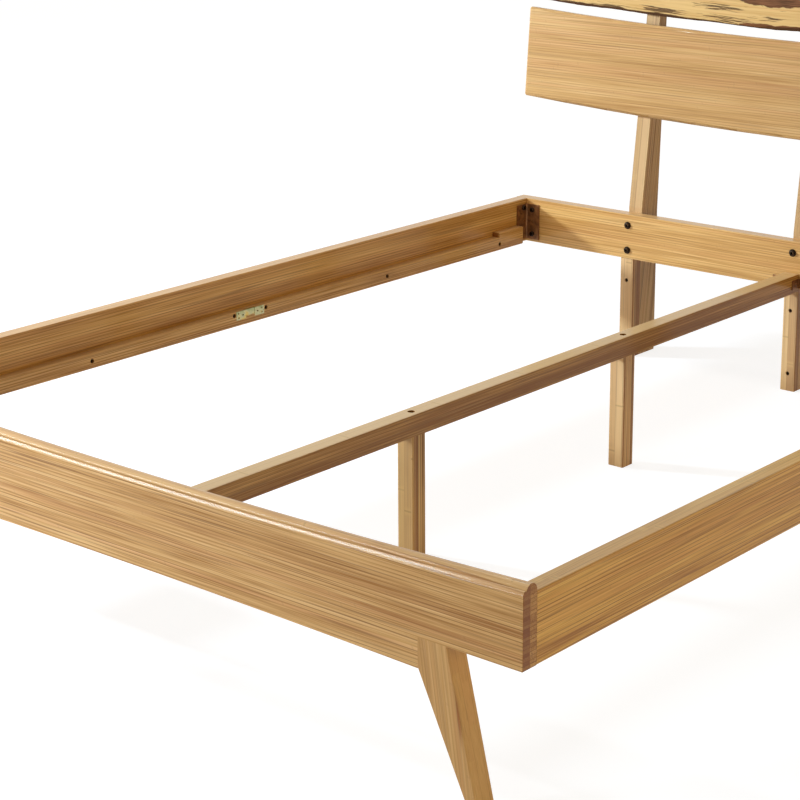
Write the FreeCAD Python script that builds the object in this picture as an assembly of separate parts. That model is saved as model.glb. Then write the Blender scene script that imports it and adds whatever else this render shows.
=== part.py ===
"""Platform bed frame in laminated bamboo, taken apart as it is delivered.

X runs across the bed, Y from the foot to the head and Z up from the floor.
The origin is on the floor, at the middle of the bed's overall box.
"""
import FreeCAD
import Part
import math
import os

Vector = FreeCAD.Vector
Rotation = FreeCAD.Rotation
Placement = FreeCAD.Placement

# Mattress that the frame takes, and the play round it
mattress_width = 1524.0
mattress_length = 2032.0
mattress_side_play = 8.0
mattress_end_play = 6.5

# Stock that the frame is sawn from
board_thickness = 32.0
square_stock = 37.0
edge_round = 2.0
cut_overrun = 5.0
pocket_overrun = 30.0
fit_clearance = 0.15

# Rails
rail_height = 110.0
rail_clearance = 249.0

# Slat ledges on the side rails, and the blocks that stop the end slats
cleat_thickness = 22.0
cleat_height = 32.0
cleat_top_drop = 75.0
cleat_screw_reach = 457.0
cleat_screw_end_inset = 137.5
stop_block_length = 96.0
stop_block_height = 12.0
stop_block_housing = 2.0
cleat_end_play = 2.0

# Steel plates let into the middle of the ledges
plate_length = 86.0
plate_height = 19.0
plate_thickness = 2.5
plate_bridge_length = 27.0
plate_bridge_height = 14.0
plate_bridge_thickness = 1.5
plate_pocket_length = 54.0
plate_pocket_depth = 8.0
plate_hole_radius = 2.0
plate_hole_insets = (7.0, 20.0)
plate_screw_gap = 6.0
plate_screw_drop = 7.0

# Foot panel: its top dips between the ends and its deep middle is arched
foot_shoulder_drop = 7.0
foot_end_rise = 14.5
foot_middle_depth = 48.0
foot_middle_arch = 6.0
foot_leg_inset = 187.0
foot_shoulder_round = 3.0
foot_ledge_width = 5.0
foot_crown_height = 7.0
foot_crown_back_drop = 5.0
foot_crown_peak_share = 0.55

# Foot legs: splayed outwards and tapered
leg_depth = 40.0
leg_top_width = 53.0
leg_splay = 96.0
leg_foot_width = 16.0
tenon_width = 30.0
tenon_thickness = 10.0
tenon_half_length = 28.0

# Headboard posts
post_inset = 342.0
post_depth = 69.0
post_reach = 97.0
post_rake_rise = 12.0
post_rake_angle = 7.1
post_back_angle = 2.4

# Headboard panels, measured up the raked front of the posts
panel_thickness = 22.0
panel_overhang = 13.0
panel_end_lean = 6.0
panel_end_rise = 25.0
panel_edge_round = 7.0
panel_corner_round = 5.0
lower_panel_start = 216.0
lower_panel_height = 222.0
panel_gap = 23.0
upper_panel_height = 115.0
live_edge_wave = 4.0
live_edge_bottom_shares = (0.3, -0.6, 0.9, -0.2, 0.5, -1.0, 0.4, 1.0, -0.5, 0.2, -0.9, 0.6, -0.3)
live_edge_top_shares = (-0.4, 0.5, -0.2, -0.8, 0.3, 0.9, 0.1, -0.7, 0.4, 0.8, -0.5, -0.1, 0.4)

# Centre beam and its two legs
beam_height = 42.0

# Bolts with round socket heads, and their washers
bolt_radius = 4.0
bolt_head_radius = 6.5
bolt_head_height = 4.5
washer_radius = 9.0
washer_thickness = 1.6
rail_bolt_rise = 21.0
rail_bolt_spacing = 62.0
rail_bolt_length = 54.0
corner_bolt_length = 23.0

# Wood screws with hexagon heads, sunk in round pockets
screw_radius = 2.5
screw_head_radius = 4.5
screw_head_height = 3.0
screw_pocket_radius = 4.8
cleat_screw_sink = 6.0
cleat_screw_length = 36.0
shoulder_screw_length = 60.0
shoulder_screw_heights = (42.0, 194.0)
panel_screw_sink = 8.0
panel_screw_grip = 14.0
lower_screw_shares = (0.25, 0.75)
upper_screw_shares = (0.4,)

# Steel corner brackets
bracket_flange = 41.0
bracket_thickness = 3.0
bracket_height = 90.0
bracket_top_drop = 13.0
bracket_bend_radius = 4.0
bracket_bolt_inset = 21.0
bracket_side_bolt_inset = 16.5
bracket_side_bolt_drop = 8.5
bracket_hole_radius = 2.0
bracket_hole_insets = (28.0, 11.0)
bracket_hole_drops = (23.0, 43.0)

# Small angle brackets at the ends of the centre beam
beam_bracket_flange = 30.0
beam_bracket_height = 22.0
beam_bracket_drop = 10.0
beam_bracket_thickness = 2.5
beam_screw_radius = 2.2
beam_screw_head_radius = 4.2
beam_screw_head_height = 1.8
beam_screw_length = 16.0

# Bolts down through the beam into its legs
beam_bore_radius = 7.0
beam_bore_depth = 14.0
beam_bolt_length = 62.0

# Places worked out from the sizes above
inner_width = mattress_width + 2 * mattress_side_play
inner_length = mattress_length + 2 * mattress_end_play
inner_x = inner_width / 2
outer_x = inner_x + board_thickness
rail_top = rail_clearance + rail_height
cleat_top = rail_top - cleat_top_drop
cleat_bottom = cleat_top - cleat_height
stop_block_top = cleat_top + stop_block_height
cleat_end_gap = bracket_flange + cleat_end_play
rake_tangent = math.tan(math.radians(post_rake_angle))
back_tangent = math.tan(math.radians(post_back_angle))
rake_start_z = rail_top + post_rake_rise
upper_panel_start = lower_panel_start + lower_panel_height + panel_gap
post_height = rake_start_z + (upper_panel_start + post_reach) * math.cos(math.radians(post_rake_angle))
post_top_back = board_thickness + post_depth + back_tangent * (post_height - rail_top)
overall_length = board_thickness + inner_length + post_top_back
head_y = overall_length / 2 - post_top_back
foot_y = head_y - inner_length
front_y = foot_y - board_thickness
middle_y = (head_y + foot_y) / 2
post_front_y = head_y + board_thickness
post_rear_y = post_front_y + post_depth
post_places = {"left": post_inset - outer_x, "center": 0.0, "right": outer_x - post_inset}
panel_half_length = outer_x + panel_overhang
foot_step_x = outer_x - foot_leg_inset
leg_foot_inner_x = foot_step_x + leg_splay
beam_bottom = cleat_top - beam_height
leg_places = {"front": foot_y + inner_length / 3, "rear": head_y - inner_length / 3}
sides = {"left": -1, "right": 1}


def box(x_from, x_to, y_from, y_to, z_from, z_to):
    """A block between two corners, in any order of the limits."""
    low = Vector(min(x_from, x_to), min(y_from, y_to), min(z_from, z_to))
    return Part.makeBox(abs(x_to - x_from), abs(y_to - y_from), abs(z_to - z_from), low)


def rod(start, direction, radius, length):
    """A cylinder that starts at a point and runs along a direction."""
    return Part.makeCylinder(radius, length, start, direction)


def stem(start, direction, radius, length):
    """A six-sided stem, for what no one sees round: hexagon heads, and shanks inside their bores."""
    turns = [math.radians(60 * corner) for corner in range(6)]
    corners = [Vector(radius * math.cos(turn), radius * math.sin(turn), 0) for turn in turns]
    upright = polygon_prism(corners, Vector(0, 0, length))
    upright.Placement = Placement(start, Rotation(Vector(0, 0, 1), direction))
    return upright


def outline_face(edges):
    """A flat face inside a closed chain of edges."""
    return Part.Face(Part.Wire(Part.__sortEdges__(edges)))


def line(start, end):
    """A straight edge."""
    return Part.LineSegment(start, end).toShape()


def arc(start, middle, end):
    """A round edge through three points."""
    return Part.Arc(start, middle, end).toShape()


def polygon_prism(points, travel):
    """A prism over a straight-sided outline."""
    return Part.Face(Part.makePolygon(points + [points[0]])).extrude(travel)


def rounded(shape, radius, wanted):
    """The shape with the edges that a test picks rounded over."""
    edges = [edge for edge in shape.Edges if wanted(edge)]
    return shape.makeFillet(radius, edges)


def runs_along(edge, axis):
    """True for an edge whose two ends differ along one axis only."""
    if len(edge.Vertexes) < 2:
        return False
    travel = edge.Vertexes[-1].Point - edge.Vertexes[0].Point
    across = travel.cross(axis)
    return travel.Length > 0 and across.Length < travel.Length * math.sin(math.radians(1))


def mirrored(shape, side):
    """The shape itself on the right, and its mirror image on the left."""
    if side > 0:
        return shape
    return shape.mirror(Vector(), Vector(1, 0, 0))


def bolt(seat, direction, length):
    """A socket bolt whose round head stands on its seat and whose shank runs along the direction."""
    head = rod(seat - direction * bolt_head_height, direction, bolt_head_radius, bolt_head_height)
    return head.fuse(stem(seat, direction, bolt_radius, length))


def screw(seat, direction, length):
    """A wood screw whose hexagon head stands on its seat."""
    head = stem(seat - direction * screw_head_height, direction, screw_head_radius, screw_head_height)
    return head.fuse(stem(seat, direction, screw_radius, length))


def bore(seat, direction, radius, length):
    """The bore for a shank, open at its seat."""
    return stem(seat - direction * cut_overrun, direction, radius + fit_clearance, length + cut_overrun)


def sunk_bore(seat, direction, radius, length, pocket_radius):
    """The bore for a shank, under a round pocket for its head."""
    shank = stem(seat, direction, radius + fit_clearance, length)
    return shank.fuse(rod(seat - direction * pocket_overrun, direction, pocket_radius, pocket_overrun))


def raked(shape):
    """Tips a shape that stands upright at the posts' front face back to their rake."""
    turn = Rotation(Vector(1, 0, 0), -post_rake_angle)
    tipped = shape.copy()
    tipped.Placement = Placement(Vector(0, post_front_y, rake_start_z), turn).multiply(tipped.Placement)
    return tipped


def post_back_at(height):
    """Depth of a post square to its raked front, at a height up that front."""
    start_depth = post_depth + back_tangent * post_rake_rise
    angle = math.radians(post_rake_angle)
    taper = math.tan(math.radians(post_rake_angle - post_back_angle))
    return start_depth * math.cos(angle) - (height - start_depth * math.sin(angle)) * taper


def panel_lift(x):
    """Rise of a headboard panel's sweep above its middle."""
    return panel_end_rise * (x / panel_half_length) ** 2


def smile_panel(start, height, top_edge, bottom_edge):
    """A headboard panel with the given long edges, upright with its back at Y zero."""
    left_low = bottom_edge.Vertexes[0].Point
    right_low = bottom_edge.Vertexes[-1].Point
    left_high = top_edge.Vertexes[0].Point
    right_high = top_edge.Vertexes[-1].Point
    face = outline_face([bottom_edge, line(right_low, right_high), top_edge, line(left_low, left_high)])
    return face.extrude(Vector(0, -panel_thickness, 0))


def swept_edge(height, half_length):
    """The arc of a panel edge that rises to both ends."""
    end = height + panel_lift(half_length)
    return arc(Vector(-half_length, 0, end), Vector(0, 0, height), Vector(half_length, 0, end))


def live_edge(height, half_length, shares):
    """A panel edge that keeps the wander of the culm it was sawn from."""
    last = len(shares) - 1
    points = []
    for number, share in enumerate(shares):
        x = half_length * (2 * number / last - 1)
        points.append(Vector(x, 0, height + panel_lift(x) + share * live_edge_wave))
    curve = Part.BSplineCurve()
    curve.interpolate(points)
    return curve.toShape()


def panel_screw_places():
    """Height up the rake, and panel, of each screw that holds a panel to a post."""
    lower = [lower_panel_start + lower_panel_height * share for share in lower_screw_shares]
    upper = [upper_panel_start + upper_panel_height * share for share in upper_screw_shares]
    return lower + upper


def panel_screw_seats():
    """Seats of the panel screws in the back of the posts, upright at the posts' front face."""
    seats = []
    for x in post_places.values():
        for height in panel_screw_places():
            seats.append(Vector(x, post_back_at(height) - panel_screw_sink, height))
    return seats


def panel_screw_length(seat):
    """Length of a panel screw from its seat to its tip in the panel."""
    return seat.y + panel_screw_grip


def panel_screws():
    """The screws that hold both headboard panels to the posts."""
    forward = Vector(0, -1, 0)
    return [raked(screw(seat, forward, panel_screw_length(seat))) for seat in panel_screw_seats()]


def panel_screw_bores():
    """The bores for the panel screws, through the posts and into the panels."""
    forward = Vector(0, -1, 0)
    return [raked(sunk_bore(seat, forward, screw_radius, panel_screw_length(seat), screw_pocket_radius))
            for seat in panel_screw_seats()]


def rail_bolt_seats():
    """Seats of the bolts that hold the head rail to the posts, but for the place that the beam covers."""
    seats = []
    for x in post_places.values():
        for step in range(2):
            z = rail_clearance + rail_bolt_rise + step * rail_bolt_spacing
            behind_beam = abs(x) < square_stock and z < cleat_top + washer_radius
            if not behind_beam:
                seats.append(Vector(x, head_y, z))
    return seats


def rail_bolts():
    """Socket bolts through the head rail, each on its washer."""
    back = Vector(0, 1, 0)
    return [bolt(seat - back * washer_thickness, back, rail_bolt_length + washer_thickness)
            for seat in rail_bolt_seats()]


def rail_washers():
    """Washers under the heads of the head rail's bolts."""
    back = Vector(0, 1, 0)
    washers = []
    for seat in rail_bolt_seats():
        disc = rod(seat - back * washer_thickness, back, washer_radius, washer_thickness)
        washers.append(disc.cut(bore(seat - back * washer_thickness, back, bolt_radius, washer_radius)))
    return washers


def shoulder_screw_seats(x):
    """Seats of the screws that hold one shoulder to its post."""
    return [Vector(x, head_y + cleat_screw_sink, z) for z in shoulder_screw_heights]


def headboard_post(x):
    """A post: square to the rail's top, then raked in front and tapering upwards."""
    top_front = post_front_y + rake_tangent * (post_height - rake_start_z)
    top_back = head_y + post_top_back
    half = square_stock / 2
    side = [Vector(x - half, post_front_y, 0),
            Vector(x - half, post_front_y, rake_start_z),
            Vector(x - half, top_front, post_height),
            Vector(x - half, top_back, post_height),
            Vector(x - half, post_rear_y, rail_top),
            Vector(x - half, post_rear_y, 0)]
    post = polygon_prism(side, Vector(square_stock, 0, 0))
    post = rounded(post, edge_round, lambda edge: not runs_along(edge, Vector(1, 0, 0))
                   and edge.BoundBox.YMin > post_front_y + board_thickness)
    back = Vector(0, 1, 0)
    cutters = [tool for tool in panel_screw_bores() if abs(tool.BoundBox.Center.x - x) < half]
    cutters += [bore(seat, back, bolt_radius, rail_bolt_length) for seat in rail_bolt_seats()
                if abs(seat.x - x) < half]
    cutters += [bore(seat, back, screw_radius, shoulder_screw_length) for seat in shoulder_screw_seats(x)]
    return post.cut(cutters)


def post_shoulder(x):
    """The block in front of a post's foot, on which the head rail rests."""
    half = square_stock / 2
    block = box(x - half, x + half, head_y, post_front_y, 0, rail_clearance)
    block = rounded(block, edge_round, lambda edge: runs_along(edge, Vector(0, 0, 1))
                    and edge.BoundBox.YMax < head_y + edge_round)
    cutters = [sunk_bore(seat, Vector(0, 1, 0), screw_radius, shoulder_screw_length, screw_pocket_radius)
               for seat in shoulder_screw_seats(x)]
    return block.cut(cutters)


def shoulder_screws():
    """The screws that hold the three shoulders to their posts."""
    return [screw(seat, Vector(0, 1, 0), shoulder_screw_length)
            for x in post_places.values() for seat in shoulder_screw_seats(x)]


def head_rail():
    """The rail across the head, bolted to the posts and to the corner brackets."""
    rail = box(-outer_x, outer_x, head_y, post_front_y, rail_clearance, rail_top)
    rail = rounded(rail, edge_round, lambda edge: runs_along(edge, Vector(1, 0, 0)))
    back = Vector(0, 1, 0)
    seats = rail_bolt_seats()
    cutters = [bore(seat, back, bolt_radius, board_thickness + cut_overrun) for seat in seats]
    for side in sides.values():
        cutters += [bore(seat, back, bolt_radius, corner_bolt_length)
                    for seat in corner_bolt_seats(side, 1)]
    cutters += [bore(seat, way, beam_screw_radius, beam_screw_length)
                for seat, way in beam_bracket_board_screws(1)]
    return rail.cut(cutters)


def lower_panel():
    """The broad lower panel of the headboard."""
    top = swept_edge(lower_panel_start + lower_panel_height, panel_half_length + panel_end_lean / 2)
    bottom = swept_edge(lower_panel_start, panel_half_length - panel_end_lean / 2)
    panel = smile_panel(lower_panel_start, lower_panel_height, top, bottom)
    panel = rounded(panel, panel_corner_round, lambda edge: runs_along(edge, Vector(0, 1, 0)))
    panel = rounded(panel, panel_edge_round, lambda edge: edge.BoundBox.YMax < -panel_thickness / 2
                    and edge.BoundBox.XLength > panel_half_length)
    return raked(panel).cut(panel_screw_bores())


def upper_panel():
    """The narrow upper panel, with natural long edges."""
    half = panel_half_length + panel_end_lean / 2
    top = live_edge(upper_panel_start + upper_panel_height, half, live_edge_top_shares)
    bottom = live_edge(upper_panel_start, half, live_edge_bottom_shares)
    panel = smile_panel(upper_panel_start, upper_panel_height, top, bottom)
    return raked(panel).cut(panel_screw_bores())


def side_rail(side):
    """A side rail, between the head rail and the foot panel."""
    rail = box(inner_x, outer_x, foot_y, head_y, rail_clearance, rail_top)
    rail = rounded(rail, edge_round, lambda edge: runs_along(edge, Vector(0, 1, 0)))
    rail = mirrored(rail, side)
    outward = Vector(side, 0, 0)
    cutters = [bore(seat, outward, screw_radius, cleat_screw_length) for seat in cleat_screw_seats(side)]
    cutters += [bore(side_bolt_seat(side, end), outward, bolt_radius, corner_bolt_length)
                for end in (-1, 1)]
    return rail.cut(cutters)


def cleat_screw_seats(side):
    """Seats of the screws that hold one ledge to its rail, sunk in the ledge."""
    x = side * (inner_x - cleat_thickness + cleat_screw_sink)
    z = (cleat_top + cleat_bottom) / 2
    seats = []
    for offset in (cleat_screw_reach, inner_length / 2 - cleat_screw_end_inset):
        seats.append(Vector(x, middle_y - offset, z))
        seats.append(Vector(x, middle_y + offset, z))
    beside_plate = plate_length / 2 + plate_screw_gap
    for offset in (-beside_plate, beside_plate):
        seats.append(Vector(x, middle_y + offset, cleat_top - plate_screw_drop))
    return seats


def cleat_screws(side):
    """The screws of one ledge."""
    return [screw(seat, Vector(side, 0, 0), cleat_screw_length) for seat in cleat_screw_seats(side)]


def slat_cleat(side):
    """The ledge that carries the slats, with the seat of its steel plate."""
    face_x = inner_x - cleat_thickness
    near = foot_y + cleat_end_gap
    far = head_y - cleat_end_gap
    cleat = box(face_x, inner_x, near, far, cleat_bottom, cleat_top)
    cleat = rounded(cleat, edge_round, lambda edge: runs_along(edge, Vector(0, 1, 0))
                    and edge.BoundBox.XMax < face_x + edge_round)
    half = plate_length / 2
    seat = box(face_x - cut_overrun, face_x + plate_thickness, middle_y - half, middle_y + half,
               cleat_top - plate_height, cleat_top + cut_overrun)
    bridge_half = plate_bridge_length / 2
    seat = seat.cut(box(face_x - cut_overrun, inner_x, middle_y - bridge_half, middle_y + bridge_half,
                        cleat_top - plate_height - cut_overrun, cleat_top - plate_bridge_height))
    pocket_radius = ((plate_pocket_length / 2) ** 2 + plate_pocket_depth ** 2) / (2 * plate_pocket_depth)
    pocket_x = face_x + plate_pocket_depth - pocket_radius
    pocket_start = Vector(pocket_x, middle_y, cleat_top - plate_bridge_height)
    pocket = rod(pocket_start, Vector(0, 0, 1), pocket_radius, plate_height)
    housings = [stop_block_space(end, cleat_top + cut_overrun) for end in (-1, 1)]
    cleat = mirrored(cleat.cut([seat, pocket] + housings), side)
    outward = Vector(side, 0, 0)
    bores = [sunk_bore(screw_seat, outward, screw_radius, cleat_screw_length, screw_pocket_radius)
             for screw_seat in cleat_screw_seats(side)]
    return cleat.cut(bores)


def stop_block_space(end, top):
    """The space of the stop block at one end of the right ledge, up to a top."""
    face_x = inner_x - cleat_thickness
    start = head_y - cleat_end_gap if end > 0 else foot_y + cleat_end_gap
    return box(face_x, inner_x, start, start - end * stop_block_length, cleat_top - stop_block_housing, top)


def slat_stops(side):
    """The blocks let into the two ends of a ledge, between which the slats lie."""
    blocks = []
    for end in (-1, 1):
        block = stop_block_space(end, stop_block_top)
        block = rounded(block, edge_round, lambda edge: edge.BoundBox.ZMin > stop_block_top - edge_round)
        blocks.append(mirrored(block, side))
    return blocks


def ledge_plate(side):
    """The steel plate let into a ledge, with three small holes at each end."""
    face_x = inner_x - cleat_thickness
    half = plate_length / 2 - fit_clearance
    bridge_half = plate_bridge_length / 2
    back_x = face_x + plate_thickness
    plate = box(face_x, back_x, middle_y - half, middle_y + half, cleat_top - plate_height, cleat_top)
    near_inset, far_inset = plate_hole_insets
    below_bridge = box(face_x - cut_overrun, back_x + cut_overrun, middle_y - bridge_half,
                       middle_y + bridge_half, cleat_top - plate_height - cut_overrun,
                       cleat_top - plate_bridge_height)
    before_bridge = box(face_x - cut_overrun, back_x - plate_bridge_thickness, middle_y - bridge_half,
                        middle_y + bridge_half, cleat_top - plate_height, cleat_top + cut_overrun)
    cutters = [below_bridge, before_bridge]
    for end in (-1, 1):
        for inset, share in ((near_inset, 0.25), (near_inset, 0.75), (far_inset, 0.5)):
            y = middle_y + end * (half - inset)
            start = Vector(face_x - cut_overrun, y, cleat_top - plate_height * share)
            through = plate_thickness + 2 * cut_overrun
            cutters.append(rod(start, Vector(1, 0, 0), plate_hole_radius, through))
    return mirrored(plate.cut(cutters), side)


def foot_section():
    """The foot panel's section at its middle: a shoulder in front, then the crown of the top edge."""
    shoulder = rail_top - foot_shoulder_drop
    corner = foot_shoulder_round * (1 - math.sqrt(0.5))
    bottom = rail_clearance - foot_middle_depth - foot_end_rise
    peak_y = front_y + board_thickness * foot_crown_peak_share
    front_low = Vector(0, front_y, bottom)
    front_high = Vector(0, front_y, shoulder - foot_shoulder_round)
    ledge_start = Vector(0, front_y + foot_shoulder_round, shoulder)
    ledge_end = Vector(0, front_y + foot_ledge_width, shoulder)
    back_high = Vector(0, foot_y, shoulder - foot_crown_back_drop)
    back_low = Vector(0, foot_y, bottom)
    return outline_face([line(front_low, front_high),
                         arc(front_high, Vector(0, front_y + corner, shoulder - corner), ledge_start),
                         line(ledge_start, ledge_end),
                         arc(ledge_end, Vector(0, peak_y, shoulder + foot_crown_height), back_high),
                         line(back_high, back_low),
                         line(back_low, front_low)])


def foot_sweep():
    """The foot panel's section swung about a far centre, so that its top rises to both ends."""
    radius = (outer_x ** 2 + foot_end_rise ** 2) / (2 * foot_end_rise)
    centre = Vector(0, 0, rail_top - foot_shoulder_drop + radius)
    half_angle = math.degrees(math.asin((outer_x + cut_overrun) / (radius - rail_height)))
    sweep = foot_section().revolve(centre, Vector(0, 1, 0), 2 * half_angle)
    return sweep.rotate(centre, Vector(0, 1, 0), -half_angle)


def foot_outline():
    """The foot panel's front outline below its top, as a prism of its thickness."""
    end_top = rail_top + foot_end_rise + foot_crown_height
    middle_low = rail_clearance - foot_middle_depth
    corners = [(-outer_x, end_top), (outer_x, end_top),
               (outer_x, rail_clearance), (foot_step_x, rail_clearance),
               (foot_step_x, middle_low), (-foot_step_x, middle_low),
               (-foot_step_x, rail_clearance), (-outer_x, rail_clearance)]
    points = [Vector(x, front_y, z) for x, z in corners]
    edges = [line(points[number - 1], points[number]) for number in range(len(points)) if number != 5]
    edges.append(arc(points[4], Vector(0, front_y, middle_low + foot_middle_arch), points[5]))
    return outline_face(edges).extrude(Vector(0, board_thickness, 0))


def foot_panel():
    """The panel across the foot, deep between the legs and shallow over them."""
    panel = foot_outline().common(foot_sweep())
    forward = Vector(0, -1, 0)
    cutters = [foot_leg_tenon(side, fit_clearance) for side in sides.values()]
    for side in sides.values():
        cutters += [bore(seat, forward, bolt_radius, corner_bolt_length)
                    for seat in corner_bolt_seats(side, -1)]
    cutters += [bore(seat, way, beam_screw_radius, beam_screw_length)
                for seat, way in beam_bracket_board_screws(-1)]
    return panel.cut(cutters)


def foot_leg_tenon(side, clearance):
    """The loose tenon between the foot panel and one leg, or with a clearance the space for it."""
    x = side * (foot_step_x + leg_top_width / 2)
    y = front_y + board_thickness / 2
    half_width = tenon_width / 2 + clearance
    half_thickness = tenon_thickness / 2 + clearance
    half_length = tenon_half_length + clearance
    return box(x - half_width, x + half_width, y - half_thickness, y + half_thickness,
               rail_clearance - half_length, rail_clearance + half_length)


def foot_leg(side):
    """A splayed leg, set into the notch of the foot panel."""
    step_low = rail_clearance - foot_middle_depth
    outline = [Vector(foot_step_x, front_y, rail_clearance),
               Vector(foot_step_x + leg_top_width, front_y, rail_clearance),
               Vector(leg_foot_inner_x + leg_foot_width, front_y, 0),
               Vector(leg_foot_inner_x, front_y, 0),
               Vector(foot_step_x, front_y, step_low)]
    leg = polygon_prism(outline, Vector(0, leg_depth, 0))
    leg = rounded(leg, edge_round, lambda edge: edge.BoundBox.ZLength > foot_middle_depth + edge_round)
    return mirrored(leg, side).cut(foot_leg_tenon(side, fit_clearance))


def corner_bolt_seats(side, end):
    """Seats of the two bolts of a corner bracket, on the flange along the cross board."""
    x = side * (inner_x - bracket_bolt_inset)
    face_y = head_y if end > 0 else foot_y
    y = face_y - end * bracket_thickness
    return [Vector(x, y, rail_clearance + rail_bolt_rise + step * rail_bolt_spacing) for step in range(2)]


def side_bolt_seat(side, end):
    """Seat of a corner bracket's bolt on the flange along the side rail."""
    x = side * (inner_x - bracket_thickness)
    face_y = head_y if end > 0 else foot_y
    z = rail_top - bracket_top_drop - bracket_side_bolt_drop
    return Vector(x, face_y - end * bracket_side_bolt_inset, z)


def corner_fastenings():
    """Seat and direction of every socket bolt of the four corner brackets."""
    fastenings = []
    for side in sides.values():
        for end in (-1, 1):
            for seat in corner_bolt_seats(side, end):
                fastenings.append((seat, Vector(0, end, 0)))
            fastenings.append((side_bolt_seat(side, end), Vector(side, 0, 0)))
    return fastenings


def corner_bracket(side, end):
    """A steel angle in one inner corner of the frame."""
    face_y = head_y if end > 0 else foot_y
    top = rail_top - bracket_top_drop
    reach_y = face_y - end * bracket_flange
    inner_face_y = face_y - end * bracket_thickness
    long_flange = box(inner_x - bracket_thickness, inner_x, face_y, reach_y, top - bracket_height, top)
    cross_flange = box(inner_x - bracket_flange, inner_x, face_y, inner_face_y, top - bracket_height, top)
    bracket = long_flange.fuse(cross_flange).removeSplitter()
    bend_x = inner_x - bracket_thickness
    bracket = rounded(bracket, bracket_bend_radius, lambda edge: runs_along(edge, Vector(0, 0, 1))
                      and abs(edge.CenterOfMass.x - bend_x) < fit_clearance
                      and abs(edge.CenterOfMass.y - inner_face_y) < fit_clearance)
    bracket = mirrored(bracket, side)
    toward_board = Vector(0, end, 0)
    toward_rail = Vector(side, 0, 0)
    through = bracket_thickness + 2 * cut_overrun
    lower, upper = corner_bolt_seats(side, end)
    cutters = [bore(seat, toward_board, bolt_radius, cut_overrun) for seat in (lower, upper)]
    cutters.append(bore(side_bolt_seat(side, end), toward_rail, bolt_radius, cut_overrun))
    middle = (lower + upper) * 0.5 - toward_board * cut_overrun
    cutters.append(rod(middle, toward_board, bracket_hole_radius, through))
    for inset, fall in zip(bracket_hole_insets, bracket_hole_drops):
        start = Vector(side * (inner_x - bracket_thickness - cut_overrun), face_y - end * inset, top - fall)
        cutters.append(rod(start, toward_rail, bracket_hole_radius, through))
    return bracket.cut(cutters)


def corner_bolts():
    """The socket bolts of the four corner brackets."""
    return [bolt(seat, way, corner_bolt_length) for seat, way in corner_fastenings()]


def center_beam():
    """The beam along the middle, level with the slat ledges."""
    half = square_stock / 2
    beam = box(-half, half, foot_y, head_y, beam_bottom, cleat_top)
    beam = rounded(beam, edge_round, lambda edge: runs_along(edge, Vector(0, 1, 0)) and edge.BoundBox.ZMin
                   > beam_bottom + edge_round)
    down = Vector(0, 0, -1)
    cutters = []
    for y in leg_places.values():
        cutters.append(sunk_bore(beam_bolt_seat(y), down, bolt_radius, beam_height, beam_bore_radius))
    for end in (-1, 1):
        cutters += [bore(seat, way, beam_screw_radius, beam_screw_length)
                    for seat, way in beam_bracket_beam_screws(end)]
    return beam.cut(cutters)


def center_leg(y):
    """A straight square leg under the beam."""
    half = square_stock / 2
    leg = box(-half, half, y - half, y + half, 0, beam_bottom)
    leg = rounded(leg, edge_round, lambda edge: runs_along(edge, Vector(0, 0, 1)))
    return leg.cut(bore(beam_bolt_seat(y), Vector(0, 0, -1), bolt_radius, beam_bolt_length))


def beam_bolt_seat(y):
    """Seat of the bolt through the beam, at the bottom of its counterbore."""
    return Vector(0, y, cleat_top - beam_bore_depth)


def beam_bolts():
    """The bolts down through the beam into its legs."""
    return [bolt(beam_bolt_seat(y), Vector(0, 0, -1), beam_bolt_length) for y in leg_places.values()]


def beam_bracket_top():
    """Top of the small angle brackets."""
    return cleat_top - beam_bracket_drop


def beam_bracket_board_screws(end):
    """Seats and directions of the screws from the small brackets into the cross board."""
    face_y = head_y if end > 0 else foot_y
    x = square_stock / 2 + beam_bracket_flange / 2
    y = face_y - end * beam_bracket_thickness
    z = beam_bracket_top() - beam_bracket_height / 2
    return [(Vector(side * x, y, z), Vector(0, end, 0)) for side in sides.values()]


def beam_bracket_beam_screws(end):
    """Seats and directions of the screws from the small brackets into the beam."""
    face_y = head_y if end > 0 else foot_y
    x = square_stock / 2 + beam_bracket_thickness
    y = face_y - end * beam_bracket_flange / 2
    z = beam_bracket_top() - beam_bracket_height / 2
    return [(Vector(side * x, y, z), Vector(-side, 0, 0)) for side in sides.values()]


def beam_brackets(end):
    """The two small steel angles that hold one end of the beam."""
    face_y = head_y if end > 0 else foot_y
    top = beam_bracket_top()
    bottom = top - beam_bracket_height
    side_x = square_stock / 2
    along = box(side_x, side_x + beam_bracket_thickness, face_y, face_y - end * beam_bracket_flange,
                bottom, top)
    across = box(side_x, side_x + beam_bracket_flange, face_y, face_y - end * beam_bracket_thickness,
                 bottom, top)
    angle = along.fuse(across).removeSplitter()
    bores = [bore(seat, way, beam_screw_radius, cut_overrun)
             for seat, way in beam_bracket_board_screws(end) + beam_bracket_beam_screws(end)]
    return [mirrored(angle, side).cut(bores) for side in sides.values()]


def beam_bracket_screws():
    """The screws of the small brackets at both ends of the beam."""
    screws = []
    for end in (-1, 1):
        for seat, way in beam_bracket_board_screws(end) + beam_bracket_beam_screws(end):
            head_start = seat - way * beam_screw_head_height
            head = stem(head_start, way, beam_screw_head_radius, beam_screw_head_height)
            screws.append(head.fuse(stem(seat, way, beam_screw_radius, beam_screw_length)))
    return screws


def write(name, shape):
    """Writes one node, after a check that each of its solids is sound."""
    if isinstance(shape, list):
        shape = Part.makeCompound(shape)
    for solid in shape.Solids:
        if not solid.isValid():
            print("not valid:", name)
    shape.exportStep("parts/" + name + ".step")
    limits = shape.BoundBox
    print(f"{name:26s} solids {len(shape.Solids):3d}  x {limits.XMin:8.1f} {limits.XMax:8.1f}"
          f"  y {limits.YMin:8.1f} {limits.YMax:8.1f}  z {limits.ZMin:7.1f} {limits.ZMax:7.1f}")


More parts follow.
